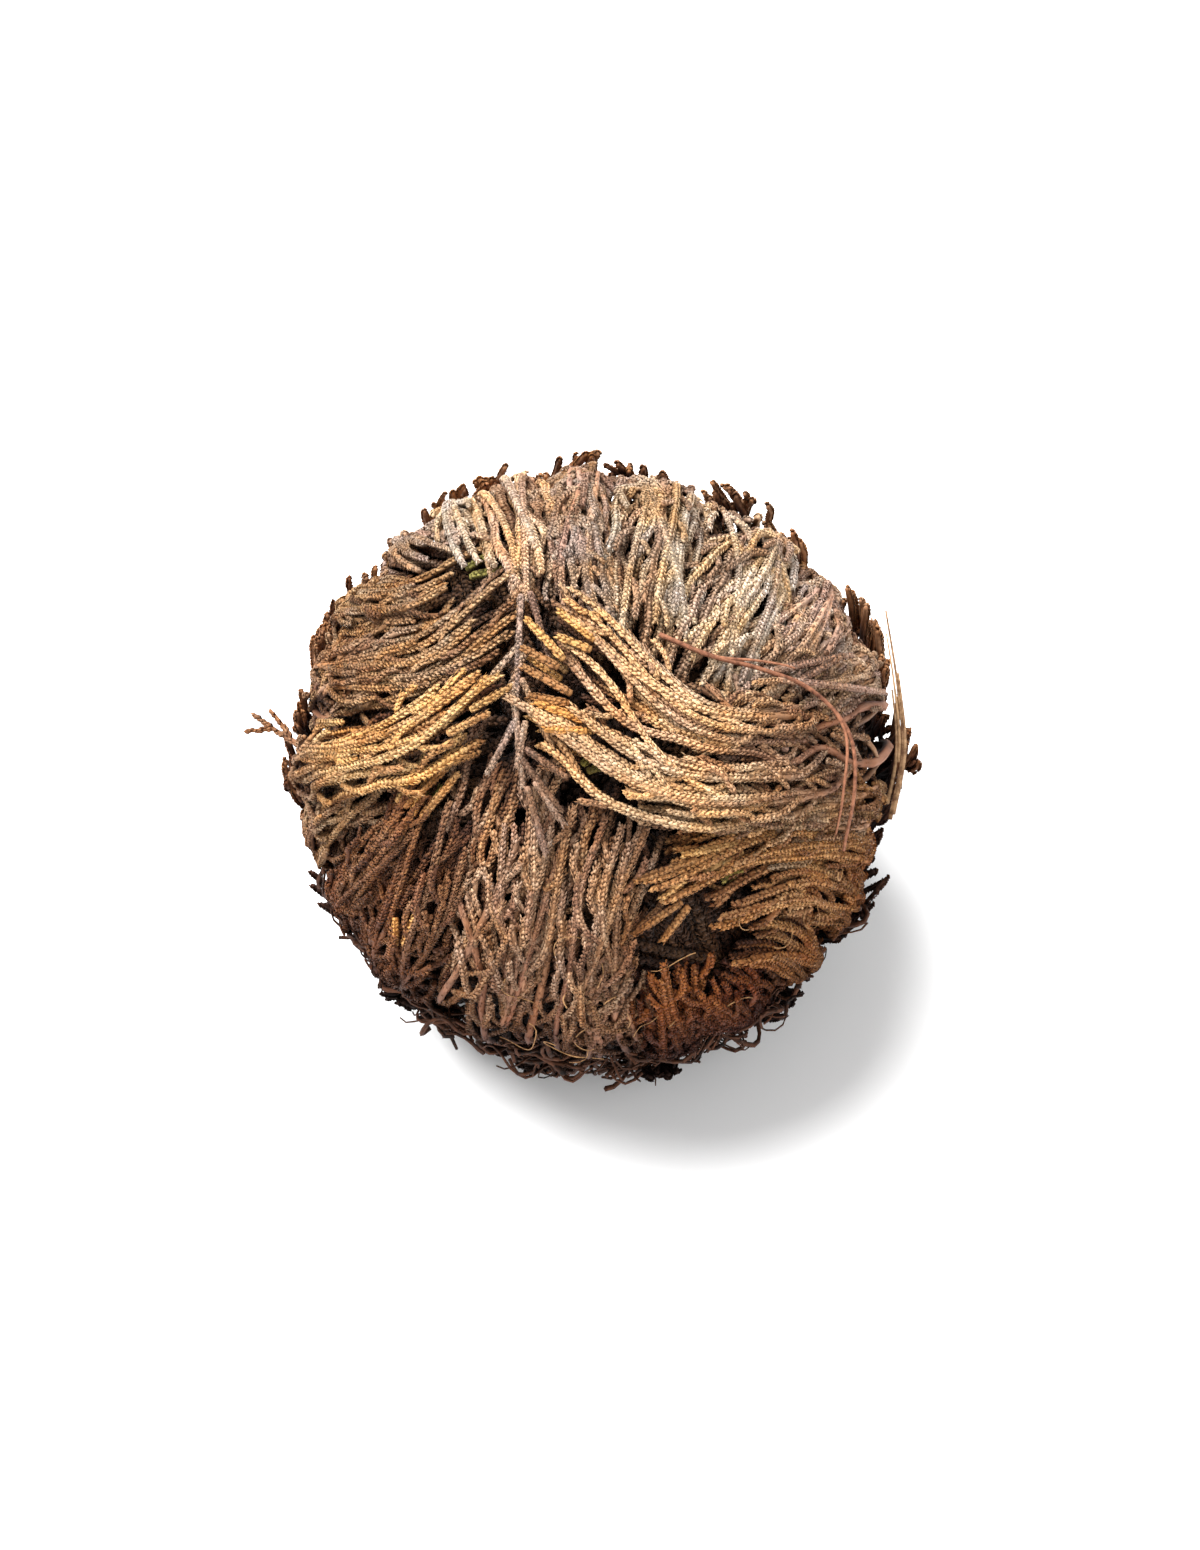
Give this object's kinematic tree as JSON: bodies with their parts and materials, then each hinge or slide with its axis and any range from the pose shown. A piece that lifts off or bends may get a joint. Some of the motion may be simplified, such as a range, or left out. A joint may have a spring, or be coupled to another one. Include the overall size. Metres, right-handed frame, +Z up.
{
  "type": "dried rose of jericho",
  "caption": "Dried resurrection plant curled up into a ball: forked, scaly fronds that rise from a short root crown and close over the top.",
  "frame": {"origin": "middle of the root crown's flat foot, on the surface that the ball rests on", "axes": "+Z up; -Y is the side from which the picture looks down at the closed face of the ball, and +X is to the right in it"},
  "size_m": [0.0983, 0.093, 0.0887],
  "materials": {
    "root_bark": "matt",
    "dark_frond": "matt",
    "umber_frond": "matt",
    "weathered_frond": "matt",
    "pale_frond": "matt",
    "straw_frond": "matt"
  },
  "bodies": {
    "root": {"root_crown": "root_bark", "face_frond_bottom_fan": "weathered_frond", "face_frond_bottom_left_fan": "weathered_frond", "face_frond_left_flank": "weathered_frond", "face_frond_left_gold": "straw_frond", "face_frond_left_high": "weathered_frond", "face_frond_left_low": "weathered_frond", "face_frond_left_middle": "weathered_frond", "face_frond_left_sweep": "pale_frond", "face_frond_left_tuft": "weathered_frond", "face_frond_low_middle": "umber_frond", "face_frond_low_right": "umber_frond", "face_frond_ochre_arc": "straw_frond", "face_frond_right_band": "weathered_frond", "face_frond_right_flank": "weathered_frond", "face_frond_right_high": "weathered_frond", "face_frond_right_low": "weathered_frond", "face_frond_right_shoulder": "weathered_frond", "face_frond_right_sweep": "straw_frond", "face_frond_top_edge": "pale_frond", "face_frond_top_left": "pale_frond", "face_frond_top_middle": "pale_frond", "face_frond_top_right": "pale_frond", "face_frond_top_stem": "weathered_frond", "face_frond_upper_sweep": "straw_frond", "outer_frond_01": "dark_frond", "outer_frond_02": "dark_frond", "outer_frond_03": "dark_frond", "outer_frond_04": "dark_frond", "outer_frond_05": "dark_frond", "outer_frond_06": "dark_frond", "outer_frond_07": "dark_frond", "outer_frond_08": "dark_frond", "outer_frond_09": "dark_frond", "outer_frond_10": "dark_frond", "outer_frond_11": "dark_frond", "outer_frond_12": "dark_frond", "outer_frond_13": "dark_frond", "middle_frond_01": "straw_frond", "middle_frond_02": "straw_frond", "middle_frond_03": "straw_frond", "middle_frond_04": "straw_frond", "middle_frond_05": "straw_frond", "middle_frond_06": "straw_frond", "middle_frond_07": "straw_frond", "middle_frond_08": "straw_frond", "heart_frond_01": "straw_frond", "heart_frond_02": "straw_frond", "heart_frond_03": "straw_frond", "heart_frond_04": "straw_frond", "heart_frond_05": "straw_frond", "twig_across": "umber_frond", "twig_left": "dark_frond", "straw_right": "straw_frond"}
  },
  "joints": []
}
